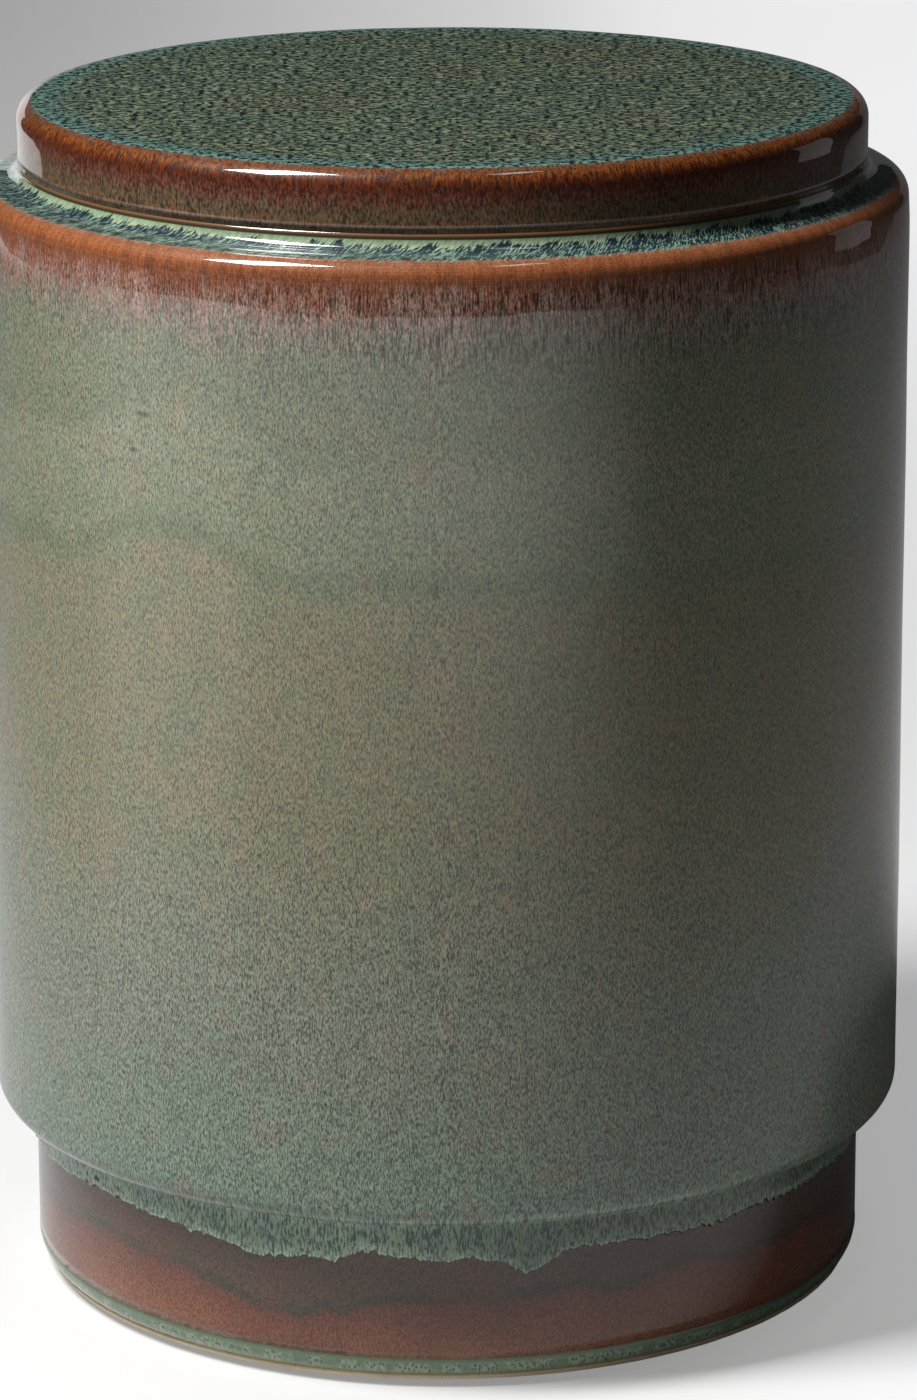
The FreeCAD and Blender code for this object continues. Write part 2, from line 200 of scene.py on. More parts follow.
def arc(centre, radius, start, end, steps):
    """Points on a round with its centre at (radius, level). 0 degrees is straight out, 90 is up."""
    turns = [math.radians(start + (end - start) * step / steps) for step in range(steps + 1)]
    return [(centre[0] + radius * math.cos(turn), centre[1] + radius * math.sin(turn)) for turn in turns]


def straight(start, end, steps):
    """Points on a straight, both ends left out."""
    return [(start[0] + (end[0] - start[0]) * step / steps, start[1] + (end[1] - start[1]) * step / steps)
            for step in range(1, steps)]


def turn_round(mesh, steps):
    """Turns an outline round the stool's axis: one gore first, then the gore repeated all the way."""
    gore = 2 * math.pi / GORES
    bmesh.ops.spin(mesh, geom=mesh.verts[:] + mesh.edges[:], cent=(0, 0, 0), axis=(0, 0, 1),
                   dvec=(0, 0, 0), angle=gore, steps=steps // GORES, use_merge=False,
                   use_normal_flip=False, use_duplicate=False)
    bmesh.ops.spin(mesh, geom=mesh.verts[:] + mesh.edges[:] + mesh.faces[:], cent=(0, 0, 0),
                   axis=(0, 0, 1), dvec=(0, 0, 0), angle=2 * math.pi - gore, steps=GORES - 1,
                   use_merge=False, use_normal_flip=False, use_duplicate=True)
    bmesh.ops.remove_doubles(mesh, verts=mesh.verts, dist=0.001 * MM)
    bmesh.ops.recalc_face_normals(mesh, faces=mesh.faces)
    mesh.normal_update()


def spin_coat(skin, back, steps=WHEEL_STEPS, closed=True):
    """A coat turned round the stool's axis: its skin and the side that lies on the clay."""
    mesh = bmesh.new()
    is_skin = mesh.verts.layers.float.new("skin")
    corners = [mesh.verts.new((radius, 0, level)) for radius, level in skin + back]
    for corner in corners[:len(skin)]:
        corner[is_skin] = 1
    for side in zip(corners, corners[1:] + corners[:1] if closed else corners[1:]):
        mesh.edges.new(side)
    turn_round(mesh, steps)
    return mesh, is_skin


def undulate(mesh, is_skin, waves, calm_from=1.0, calm_at=2.0):
    """Moves the skin in and out along its normals, by waves of (depth, width, height) in metres. Most of
    their depth dies down between the two levels."""
    for vertex in mesh.verts:
        if vertex[is_skin] < 1:
            continue
        push = 0
        for number, (depth, width, height) in enumerate(waves):
            spot = Vector((vertex.co.x / width, vertex.co.y / width, vertex.co.z / height + 7 * number))
            push += depth * noise.noise(spot)
        calm = min(1, max(0, (vertex.co.z - calm_from) / (calm_at - calm_from)))
        vertex.co += (1 - CALMED_SHARE * calm) * push * vertex.normal


def finish_piece(name, mesh, material, slot, *nodes):
    """Makes the turned mesh a smooth piece that rides on the stool, in place of any nodes named."""
    data = bpy.data.meshes.new(name)
    mesh.to_mesh(data)
    mesh.free()
    data.shade_smooth()
    data.materials.append(material)
    piece = bpy.data.objects.new(name, data)
    bpy.context.scene.collection.objects.link(piece)
    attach(piece, "root")
    if nodes:
        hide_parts(*nodes)


def wrapped_place(tree, radius, squeeze):
    """Where a point of a turned piece is: round the stool on a ring of the radius, and along the outline
    from the foot to the middle of the seat, squeezed. Gives that place, the way along, and the parts."""
    where = add_node(tree, "ShaderNodeTexCoord", {}).outputs["Object"]
    parts = add_node(tree, "ShaderNodeSeparateXYZ", {"Vector": where}).outputs
    flat = add_node(tree, "ShaderNodeVectorMath", {0: where, 1: (1, 1, 0)}, operation="MULTIPLY").outputs[0]
    out = add_node(tree, "ShaderNodeVectorMath", {0: flat}, operation="LENGTH").outputs["Value"]
    along = sums(tree, "ADD", parts["Z"], sums(tree, "SUBTRACT", radius, out))
    ring = add_node(tree, "ShaderNodeVectorMath", {0: flat}, operation="NORMALIZE").outputs[0]
    ring = add_node(tree, "ShaderNodeVectorMath", {0: ring, "Scale": radius}, operation="SCALE").outputs[0]
    up = add_node(tree, "ShaderNodeCombineXYZ", {"Z": sums(tree, "MULTIPLY", along, squeeze)}).outputs[0]
    place = add_node(tree, "ShaderNodeVectorMath", {0: ring, 1: up}, operation="ADD").outputs[0]
    return place, along, parts, out


def shift(tree, value, noise_value, reach):
    """Moves a value up and down by a noise, as far as the reach at the noise's own ends."""
    return sums(tree, "MULTIPLY_ADD", sums(tree, "SUBTRACT", noise_value, 0.5), 2 * reach, value)


def beside(tree, place, turn, level, radius, reach, height):
    """1 at a spot on the wall, at a turn from the front and a level, and 0 past its reach round the stool
    and its height."""
    spot = (radius * math.sin(math.radians(turn)), -radius * math.cos(math.radians(turn)), level)
    away = add_node(tree, "ShaderNodeVectorMath", {0: place, 1: spot}, operation="SUBTRACT").outputs[0]
    away = add_node(tree, "ShaderNodeVectorMath", {0: away, 1: (1 / reach, 1 / reach, 1 / height)},
                    operation="MULTIPLY").outputs[0]
    away = add_node(tree, "ShaderNodeVectorMath", {0: away}, operation="LENGTH").outputs["Value"]
    return fade(tree, away, 1.0, 0.0)


def glass_over(shader):
    """A clear skin of fired glass over the colour, smooth however rough the crystals in it are."""
    shader.inputs["Specular IOR Level"].default_value = 0.15
    shader.inputs["Coat Weight"].default_value = 1.0
    shader.inputs["Coat Roughness"].default_value = 0.025
    shader.inputs["Coat IOR"].default_value = 1.5


shoulder_slope = math.atan2(SHOULDER_FALL, DRUM - CAP)
# the top of the wall leans in a little, in a curve that ends at this turn from upright, in degrees
LEAN_START = 410 * MM
LEAN = 0.4 * MM
LEAN_TURN = 3.4
CALM_FROM = 413 * MM
CALM_AT = 421 * MM
arris_reach = LEAN + SHOULDER_ARRIS * math.cos(math.radians(LEAN_TURN))
arris_centre = (DRUM - arris_reach, SHOULDER_EDGE + arris_reach * math.tan(shoulder_slope)
                - SHOULDER_ARRIS / math.cos(shoulder_slope))
cove_centre = (CAP + COVE,
               SHOULDER_ROOT - COVE * (math.tan(shoulder_slope) - 1 / math.cos(shoulder_slope)))
heel_centre = (DRUM - HEEL_ROUND, HEEL + HEEL_ROUND)
heel_arc = arc(heel_centre, HEEL_ROUND, -90, 0, 10)
arris_arc = arc(arris_centre, SHOULDER_ARRIS, LEAN_TURN, 90 - math.degrees(shoulder_slope), 12)
wall = straight(heel_arc[-1], (DRUM, arris_arc[0][1]), 84)
lean_height = arris_arc[0][1] - LEAN_START
wall = [(radius - LEAN * max(0, (level - LEAN_START) / lean_height) ** 2, level) for radius, level in wall]
cove_arc = arc(cove_centre, COVE, 270 - math.degrees(shoulder_slope), 180, 12)
drum_skin = ([(PLINTH, HEEL)] + straight((PLINTH, HEEL), heel_arc[0], 3) + heel_arc
             + wall + arris_arc
             + straight(arris_arc[-1], cove_arc[0], 3) + cove_arc + [(CAP, COVE_TOP)])
drum_back = [(CAP_CLAY, COVE_TOP), (CAP_CLAY, SHOULDER_CLAY),
             (DRUM_CLAY - SHOULDER_ARRIS, SHOULDER_CLAY - SHOULDER_FALL),
             (DRUM_CLAY, SHOULDER_CLAY - SHOULDER_FALL - SHOULDER_ARRIS),
             (DRUM_CLAY, HEEL_CLAY + HEEL_ROUND), (DRUM_CLAY - HEEL_ROUND, HEEL_CLAY),
             (PLINTH_CLAY, HEEL_CLAY), (PLINTH_CLAY, HEEL)]
mesh, is_skin = spin_coat(drum_skin, drum_back)
undulate(mesh, is_skin, [(0.10 * MM, 22 * MM, 34 * MM), (0.22 * MM, 60 * MM, 90 * MM)],
         calm_from=CALM_FROM, calm_at=CALM_AT)

drum_finish, shader = new_finish("drum_glaze", 0.45)
glass_over(shader)
tree = drum_finish.node_tree
place, along, parts, _ = wrapped_place(tree, DRUM, 1)
dash_place = wrapped_place(tree, DRUM, 0.4)[0]
hair_place = wrapped_place(tree, DRUM, 0.12)[0]
fleck = mottle(tree, wrapped_place(tree, DRUM, 0.27)[0], 0.42 * MM, 2, 0.6)
hair = mottle(tree, hair_place, 0.65 * MM, 2, 0.6)
tuft = mottle(tree, hair_place, 3.2 * MM, 2, 0.6)
cloud = mottle(tree, dash_place, 42 * MM, 3, 0.5)
patch = mottle(tree, wrapped_place(tree, DRUM, 0.8)[0], 13 * MM, 3, 0.6)

# The wall. Sage above a wavy dark line, khaki in the middle, blue-green low down.
crest = beside(tree, place, -34, 0.333, DRUM, 62 * MM, 400 * MM)
height = sums(tree, "MULTIPLY_ADD", crest, -19 * MM, parts["Z"])
height = shift(tree, height, cloud, 9 * MM)
wall_colour = bands(tree, height, [
    (0.068, paint(122, 142, 130)),
    (0.085, paint(126, 142, 130)),
    (0.150, paint(135, 141, 127)),
    (0.220, paint(136, 132, 108)),
    (0.300, paint(136, 131, 106)),
    (0.316, paint(132, 138, 115)),
    (0.352, paint(140, 143, 123)),
    (0.366, paint(130, 135, 115)),
    (0.400, paint(130, 133, 117)),
])
line = sums(tree, "MULTIPLY", fade(tree, height, 0.302, 0.3105), fade(tree, height, 0.3205, 0.3115))
line = sums(tree, "MULTIPLY", line, fade(tree, parts["X"], 0.10, -0.07, 0.15, 0.55))
wall_colour = tint(tree, line, wall_colour, paint(100, 116, 88))
line = sums(tree, "MULTIPLY", fade(tree, height, 0.354, 0.359), fade(tree, height, 0.370, 0.361))
line = sums(tree, "MULTIPLY", line, fade(tree, parts["X"], 0.02, -0.09, 0, 0.5))
wall_colour = tint(tree, line, wall_colour, paint(118, 128, 106))
wall_colour = tint(tree, fade(tree, patch, 0.50, 0.70, 0, 0.32), wall_colour, paint(158, 130, 114))
wall_colour = tint(tree, fade(tree, patch, 0.50, 0.30, 0, 0.40), wall_colour, paint(116, 130, 110))
wall_colour = tint(tree, 1.0, wall_colour, (0.90, 0.91, 0.82, 1), "MULTIPLY")
for turn, level, reach in ((-37.5, 0.3680, 6 * MM), (-39.1, 0.3543, 3 * MM)):
    mark = beside(tree, place, turn, level, DRUM, reach, 1.6 * MM)
    wall_colour = tint(tree, fade(tree, mark, 0.1, 0.7, 0, 0.7), wall_colour, paint(50, 60, 46))

# The top of the wall. Maroon hairs thicken upwards into rust, and the rounded edge breaks to tan.
rust_start = shift(tree, shift(tree, along, hair, 24 * MM), tuft, 14 * MM)
rust_share = fade(tree, rust_start, 0.398, 0.412)
rust_colour = bands(tree, shift(tree, shift(tree, along, hair, 4 * MM), tuft, 4 * MM), [
    (0.392, paint(138, 122, 112)),
    (0.404, paint(138, 110, 102)),
    (0.412, paint(144, 100, 86)),
    (0.4185, paint(140, 86, 66)),
    (0.4225, paint(126, 72, 46)),
    (0.428, paint(140, 80, 45)),
    (0.433, paint(134, 82, 54)),
    (0.437, paint(126, 90, 72)),
])
rust_colour = shade(tree, rust_colour, tuft, 0.36, 0.64, 0.84, 1.12)
blotch = mottle(tree, wrapped_place(tree, DRUM, 0.5)[0], 13 * MM, 3, 0.6)
pink_share = sums(tree, "MULTIPLY", fade(tree, blotch, 0.46, 0.62, 0, 0.65),
                  fade(tree, shift(tree, along, hair, 6 * MM), 0.424, 0.417))
rust_colour = tint(tree, pink_share, rust_colour, paint(160, 132, 120))
drum_colour = tint(tree, rust_share, wall_colour, rust_colour)
strand = mottle(tree, wrapped_place(tree, DRUM, 0.11)[0], 0.62 * MM, 2, 0.6)
hair_zone = sums(tree, "MULTIPLY", fade(tree, along, 0.380, 0.404), fade(tree, along, 0.427, 0.416))
hair_zone = sums(tree, "MULTIPLY", hair_zone, fade(tree, parts["X"], -0.14, 0.02, 0.45, 1))
pale_share = sums(tree, "MULTIPLY", hair_zone, fade(tree, strand, 0.53, 0.63, 0, 0.65))
drum_colour = tint(tree, pale_share, drum_colour, paint(166, 148, 134))
dark_strand = sums(tree, "MULTIPLY", hair_zone, fade(tree, strand, 0.49, 0.38, 0, 0.9))
drum_colour = tint(tree, dark_strand, drum_colour, paint(46, 28, 26))

# Fine rings that the wheel left, seen on the rounded edge.
ring_place = add_node(tree, "ShaderNodeCombineXYZ", {"Z": along}).outputs[0]
wheel_line = mottle(tree, ring_place, 0.7 * MM, 2, 0.6)
ring_share = sums(tree, "MULTIPLY", fade(tree, along, 0.418, 0.424),
                  fade(tree, wheel_line, 0.5, 0.68, 0, 0.22))
drum_colour = tint(tree, ring_share, drum_colour, paint(190, 140, 108))

# The shoulder. Slanting navy dabs run out from the cap over a pale ground, under a clear pale cove.
slant = add_node(tree, "ShaderNodeVectorRotate", {
    "Vector": wrapped_place(tree, DRUM, 0.24)[0],
    "Angle": sums(tree, "MULTIPLY", sums(tree, "SUBTRACT", along, 0.44), -3.5),
}, rotation_type="Z_AXIS").outputs[0]
streak = mottle(tree, slant, 0.7 * MM, 2, 0.6)
cluster = mottle(tree, slant, 5 * MM, 2, 0.5)
navy_share = fade(tree, shift(tree, streak, cluster, 0.16), 0.575, 0.515)
shoulder_colour = tint(tree, navy_share, paint(118, 144, 130), paint(24, 40, 48))
cove_colour = tint(tree, fade(tree, streak, 0.35, 0.65), paint(116, 142, 118), paint(158, 172, 136))
cove_edge = shift(tree, shift(tree, along, streak, 4 * MM), cluster, 5 * MM)
shoulder_colour = tint(tree, fade(tree, cove_edge, 0.4474, 0.4486), shoulder_colour, cove_colour)
shoulder_colour = tint(tree, fade(tree, along, 0.4506, 0.4512), shoulder_colour, paint(62, 54, 34))
shoulder_colour = tint(tree, fade(tree, along, 0.4516, 0.4526), shoulder_colour, paint(110, 76, 50))
shoulder_edge = shift(tree, along, streak, 5 * MM)
shoulder_share = fade(tree, shoulder_edge, 0.4342, 0.4356)

# The flecks. They are strongest low on the wall and weakest on the rounded edge, and none is laid over
# the shoulder.
contrast = sums(tree, "MULTIPLY", fade(tree, along, 0.426, 0.414, 0.5, 1),
                fade(tree, parts["Z"], 0.26, 0.15, 1.3, 1.85))
fleck_height = sums(tree, "MULTIPLY", sums(tree, "SUBTRACT", fleck, 0.5), contrast)
drum_colour = shade(tree, drum_colour, fleck_height, -0.32, 0.32, 0.2, 1.8)
drum_colour = tint(tree, shoulder_share, drum_colour, shoulder_colour)

tree.links.new(drum_colour, shader.inputs["Base Color"])
tree.links.new(fade(tree, fleck, 0.3, 0.7, 0.55, 0.35), shader.inputs["Roughness"])
tree.links.new(relief(tree, fleck, 0.05 * MM), shader.inputs["Normal"])
finish_piece("drum_glaze_coat", mesh, drum_finish, "drum_glaze", "drum_glaze")


# Seat glaze. The dark green coat on the cap, crowded with fine crystals, that broke amber and rust where
# it ran off the edge and down the cap's short wall. A thicker teal ring stands just inside the edge.
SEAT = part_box("seat_glaze")[1].z
SEAT_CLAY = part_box("seat_cap")[1].z
CAP_ARRIS = 7.5 * MM
RIDGE_RADIUS = 150 * MM
RIDGE_HALF_WIDTH = 4 * MM
RIDGE_HEIGHT = 0.12 * MM

seat_skin = (
    [(CAP, COVE_TOP)]
    + straight((CAP, COVE_TOP), (CAP, SEAT - CAP_ARRIS), 5)
    + arc((CAP - CAP_ARRIS, SEAT - CAP_ARRIS), CAP_ARRIS, 0, 90, 14)
    + straight((CAP - CAP_ARRIS, SEAT), (0, SEAT), 76)
    + [(0, SEAT)]
)
seat_back = [(0, SEAT_CLAY), (CAP_CLAY - CAP_ARRIS, SEAT_CLAY), (CAP_CLAY, SEAT_CLAY - CAP_ARRIS),
             (CAP_CLAY, COVE_TOP), (CAP, COVE_TOP)]
mesh, is_skin = spin_coat(seat_skin, seat_back, closed=False)
for vertex in mesh.verts:
    reach = (math.hypot(vertex.co.x, vertex.co.y) - RIDGE_RADIUS) / RIDGE_HALF_WIDTH
    if vertex[is_skin] == 1 and abs(reach) < 1:
        vertex.co.z += RIDGE_HEIGHT * (1 - reach * reach) ** 2
undulate(mesh, is_skin, [(0.06 * MM, 22 * MM, 22 * MM), (0.12 * MM, 70 * MM, 40 * MM)])

seat_finish, shader = new_finish("seat_glaze", 0.45)
glass_over(shader)
tree = seat_finish.node_tree
place, along, _, out = wrapped_place(tree, CAP, 0.4)
hair_place = wrapped_place(tree, CAP, 0.13)[0]
spot = add_node(tree, "ShaderNodeTexCoord", {}).outputs["Object"]
crystal = mottle(tree, spot, 2.5 * MM, 2, 0.6)
crystal_tint = mottle(tree, spot, 3.2 * MM, 2, 0.6)
cloud = mottle(tree, spot, 60 * MM, 3, 0.5)
hair = mottle(tree, hair_place, 0.9 * MM, 2, 0.6)
tuft = mottle(tree, hair_place, 3.5 * MM, 2, 0.6)
fleck = mottle(tree, place, 0.8 * MM, 2, 0.6)

top_colour = tint(tree, fade(tree, cloud, 0.44, 0.66), paint(86, 104, 90), paint(94, 104, 84))
top_colour = tint(tree, fade(tree, crystal_tint, 0.48, 0.60), top_colour, paint(140, 148, 120))
top_colour = tint(tree, fade(tree, crystal, 0.51, 0.46), top_colour, paint(14, 28, 26))
ring_colour = tint(tree, fade(tree, crystal, 0.46, 0.54), paint(18, 40, 42), paint(108, 138, 126))
ring_edge = shift(tree, out, crystal, 12 * MM)
top_colour = tint(tree, fade(tree, ring_edge, 0.140, 0.150), top_colour, ring_colour)

# The cap's short wall. Amber under the edge, rust and dark hairs below it, and olive near the cove.
drop = shift(tree, shift(tree, along, hair, 4 * MM), tuft, 6 * MM)
side_colour = bands(tree, drop, [
    (0.4370, paint(118, 78, 50)),
    (0.4400, paint(112, 78, 52)),
    (0.4420, paint(92, 78, 56)),
    (0.4450, paint(94, 74, 56)),
    (0.4485, paint(102, 58, 44)),
    (0.4520, paint(98, 44, 28)),
    (0.4550, paint(92, 40, 16)),
    (0.4580, paint(112, 56, 18)),
    (0.4600, paint(132, 72, 24)),
    (0.4620, paint(104, 58, 32)),
    (0.4650, paint(106, 80, 64)),
])
side_colour = tint(tree, fade(tree, fleck, 0.50, 0.38, 0, 0.8), side_colour, paint(32, 22, 18))
dark_hair = sums(tree, "MULTIPLY", fade(tree, along, 0.446, 0.453), fade(tree, along, 0.4635, 0.460))
dark_hair = sums(tree, "MULTIPLY", dark_hair, fade(tree, hair, 0.52, 0.40, 0, 0.7))
side_colour = tint(tree, dark_hair, side_colour, paint(44, 20, 12))
grain = sums(tree, "MULTIPLY", fade(tree, fleck, 0.52, 0.64, 0, 0.45), fade(tree, along, 0.456, 0.448))
side_colour = tint(tree, grain, side_colour, paint(136, 112, 84))
edge = shift(tree, along, hair, 0.5 * MM)
seat_colour = tint(tree, fade(tree, edge, 0.4648, 0.4656), side_colour, top_colour)
tree.links.new(seat_colour, shader.inputs["Base Color"])
tree.links.new(fade(tree, crystal, 0.3, 0.7, 0.55, 0.35), shader.inputs["Roughness"])
tree.links.new(relief(tree, crystal, 0.08 * MM), shader.inputs["Normal"])
finish_piece("seat_glaze_coat", mesh, seat_finish, "seat_glaze", "seat_glaze")


# Plinth glaze. A thinner coat that fired maroon and red-brown over the plinth, with a dark green cloud
# where the drum's glaze thinned out over it.
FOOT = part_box("plinth_ring")[0].z
FOOT_GLAZE_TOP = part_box("foot_glaze")[1].z
PLINTH_GLAZE_END = FOOT_GLAZE_TOP - 0.6 * MM
plinth_skin = [(PLINTH, PLINTH_GLAZE_END)]
plinth_skin += straight(plinth_skin[0], (PLINTH, HEEL), 14) + [(PLINTH, HEEL)]
mesh, is_skin = spin_coat(plinth_skin, [(PLINTH_CLAY, HEEL), (PLINTH_CLAY, PLINTH_GLAZE_END)])
undulate(mesh, is_skin, [(0.08 * MM, 22 * MM, 30 * MM)])

plinth_finish, shader = new_finish("plinth_glaze", 0.45)
glass_over(shader)
tree = plinth_finish.node_tree
place, _, parts, _ = wrapped_place(tree, PLINTH, 0.5)
round_place = wrapped_place(tree, PLINTH, 1)[0]
speck = mottle(tree, place, 0.6 * MM, 2, 0.6)
cloud = mottle(tree, place, 24 * MM, 3, 0.5)
drift = mottle(tree, round_place, 34 * MM, 3, 0.5)
dip = beside(tree, round_place, -22, 0.03, PLINTH, 60 * MM, 400 * MM)
height = sums(tree, "MULTIPLY_ADD", dip, 8 * MM, parts["Z"])
height = shift(tree, height, cloud, 10 * MM)
plinth_colour = bands(tree, height, [
    (0.012, paint(158, 100, 68)),
    (0.024, paint(142, 86, 62)),
    (0.0345, paint(124, 74, 60)),
    (0.0372, paint(86, 74, 58)),
    (0.0386, paint(82, 76, 60)),
    (0.0408, paint(104, 82, 68)),
    (0.060, paint(108, 86, 74)),
])
plinth_colour = tint(tree, fade(tree, drift, 0.50, 0.66, 0, 0.4), plinth_colour, paint(128, 70, 58))
plinth_colour = shade(tree, plinth_colour, speck, 0.34, 0.66, 0.5, 1.25)
# Painted shade: the plinth is made darker towards the right, away from the soft box.
plinth_colour = shade(tree, plinth_colour, parts["X"], -0.08, 0.06, 0.97, 0.8)
tree.links.new(plinth_colour, shader.inputs["Base Color"])
tree.links.new(fade(tree, speck, 0.3, 0.7, 0.55, 0.35), shader.inputs["Roughness"])
tree.links.new(relief(tree, speck, 0.03 * MM), shader.inputs["Normal"])
finish_piece("plinth_glaze_coat", mesh, plinth_finish, "plinth_glaze", "plinth_glaze")


# Run of glaze. The skirt of the drum's glaze that flowed over the plinth and froze in lobes, with a pool
# in the corner under the drum and a rounded lip that stands off the plinth.
RUN_STEPS = 1440
RUN_MEAN_DROP = 14.5 * MM
RUN_LEAST_DROP = 3 * MM
RUN_THICKNESS = 1.2 * MM
RUN_POOL = 2.6 * MM
# the lobes that the front shows: angle, depth below the mean drop or above it, and half width in degrees
LOBES = [(-54, -2, 8), (-43, 0, 5), (-34.5, 1.8, 4), (-25.5, 6, 4.6), (-19.5, 2.5, 3), (-15, 4.2, 2.4),
         (-6, 1.4, 2.4), (-0.8, 3.2, 3), (5.6, 2.8, 2), (10.3, 8.2, 2.6), (13.2, 3, 2), (26, 0.8, 2),
         (32, 1, 3), (39, 1, 2.4), (46.6, -0.6, 4), (64, -1, 5)]
# the rest of its edge: how fine the ripples are, their depth, and what they gain behind, in millimetres
RIPPLES = [(9, 0, 6), (24, 0.8, 2), (75, 1.4, 0), (180, 0.8, 0)]
BEHIND_FROM = 60
BEHIND_FULLY = 90


def run_drop(turn):
    """How far the run's edge hangs under the drum at an angle."""
    drop = RUN_MEAN_DROP
    for angle, depth, half_width in LOBES:
        away = (turn - angle) / half_width
        drop += depth * MM * math.exp(-away * away)
    spot = Vector((math.sin(math.radians(turn)), math.cos(math.radians(turn)), 0))
    behind = min(1, max(0, (abs(turn) - BEHIND_FROM) / (BEHIND_FULLY - BEHIND_FROM)))
    for fineness, depth, gain_behind in RIPPLES:
        drop += (depth + gain_behind * behind) * MM * noise.noise(fineness * spot)
    return max(drop, RUN_LEAST_DROP)


# the run's outline: share of the drop, height above the edge, and how far it stands off the plinth
run_outline = [(0, 0, RUN_THICKNESS + RUN_POOL), (0.08, 0, RUN_THICKNESS + 0.6 * MM)]
run_outline += [(share, 0, RUN_THICKNESS) for share in (0.18, 0.3, 0.45, 0.6, 0.75)]
LIP = [(3.0, 1.25), (2.4, 1.35), (1.8, 1.45), (1.3, 1.45), (0.9, 1.35), (0.5, 1.1), (0.25, 0.8),
       (0.08, 0.4)]
run_outline += [(1, lift * MM, stand * MM) for lift, stand in LIP]
run_outline += [(1, 0, 0), (0.5, 0, 0), (0, 0, 0)]
mesh = bmesh.new()
share_layer = mesh.verts.layers.float.new("share")
lift_layer = mesh.verts.layers.float.new("lift")
left_layer = mesh.verts.layers.float.new("left_to_go")
corners = []
for share, lift, stand in run_outline:
    corner = mesh.verts.new((PLINTH + stand, 0, HEEL - share * RUN_MEAN_DROP + lift))
    corner[share_layer] = share
    corner[lift_layer] = lift
    corners.append(corner)
for side in zip(corners, corners[1:] + corners[:1]):
    mesh.edges.new(side)
turn_round(mesh, RUN_STEPS)
for vertex in mesh.verts:
    turn = math.degrees(math.atan2(vertex.co.x, -vertex.co.y))
    drop = run_drop(turn)
    vertex.co.z = HEEL - vertex[share_layer] * drop + vertex[lift_layer]
    vertex[left_layer] = (1 - vertex[share_layer]) * drop + vertex[lift_layer]

run_finish, shader = new_finish("glaze_run", 0.45)
glass_over(shader)
tree = run_finish.node_tree
parts = wrapped_place(tree, PLINTH, 0.3)[2]
fringe_place = wrapped_place(tree, PLINTH, 0.25)[0]
streak = mottle(tree, fringe_place, 0.7 * MM, 2, 0.6)
lobe = mottle(tree, fringe_place, 4.5 * MM, 2, 0.5)
left_to_go = add_node(tree, "ShaderNodeAttribute", {}, attribute_name="left_to_go").outputs["Fac"]
tip = fade(tree, shift(tree, left_to_go, streak, 4 * MM), 7 * MM, 2 * MM)
run_colour = tint(tree, tip, paint(128, 152, 134), paint(178, 202, 178))
run_colour = tint(tree, fade(tree, lobe, 0.46, 0.62, 0, 0.45), run_colour, paint(152, 170, 134))
dark_share = sums(tree, "MULTIPLY", fade(tree, shift(tree, streak, lobe, 0.1), 0.50, 0.42),
                  fade(tree, left_to_go, 0.4 * MM, 5 * MM, 0.25, 0.75))
run_colour = tint(tree, dark_share, run_colour, paint(34, 60, 58))
# Painted shade: the run is made lighter on the left, towards the soft box, and darker on the right.
run_colour = shade(tree, run_colour, parts["X"], -0.05, 0.05, 1.25, 0.55)
# Painted shadow: a dark line low on the lip, where it stands off the plinth.
lip_shadow_share = fade(tree, shift(tree, left_to_go, streak, 0.8 * MM), 1.2 * MM, 0.7 * MM, 0, 0.9)
run_colour = tint(tree, lip_shadow_share, run_colour, paint(30, 34, 26))
run_colour = tint(tree, fade(tree, parts["Z"], HEEL - 2.5 * MM, HEEL, 0, 0.8), run_colour,
                  paint(110, 100, 66))
run_colour = shade(tree, run_colour, streak, 0.34, 0.66, 0.55, 1.35)
tree.links.new(run_colour, shader.inputs["Base Color"])
tree.links.new(fade(tree, streak, 0.3, 0.7, 0.5, 0.3), shader.inputs["Roughness"])
tree.links.new(relief(tree, streak, 0.05 * MM), shader.inputs["Normal"])
finish_piece("glaze_run_skirt", mesh, run_finish, "glaze_run", "glaze_run")


# Foot glaze. The dipped green band round the plinth's lower edge, wiped off above the bare rim. It
# boiled a little in the kiln, which left clusters of small dark bubbles, each with a painted highlight
# round it.
FOOT_ROUND = 9 * MM
BARE_RIM_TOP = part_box("foot_glaze")[0].z
wiped = -math.degrees(math.asin((FOOT + FOOT_ROUND - BARE_RIM_TOP) / FOOT_ROUND))
STANDS_OUT = 0.08 * MM
TUCK = 0.2 * MM
foot_skin = ([(PLINTH - TUCK, FOOT_GLAZE_TOP + TUCK), (PLINTH, PLINTH_GLAZE_END),
              (PLINTH + STANDS_OUT, PLINTH_GLAZE_END - 0.6 * MM)]
             + arc((PLINTH + STANDS_OUT - FOOT_ROUND, FOOT + FOOT_ROUND), FOOT_ROUND, 0, wiped, 12))
foot_back = [(foot_skin[-1][0] - COAT, BARE_RIM_TOP), (PLINTH_CLAY, FOOT + FOOT_ROUND),
             (PLINTH_CLAY, FOOT_GLAZE_TOP)]
mesh, is_skin = spin_coat(foot_skin, foot_back, steps=RUN_STEPS)
undulate(mesh, is_skin, [(0.10 * MM, 2.5 * MM, 2.5 * MM), (0.06 * MM, 12 * MM, 12 * MM)])

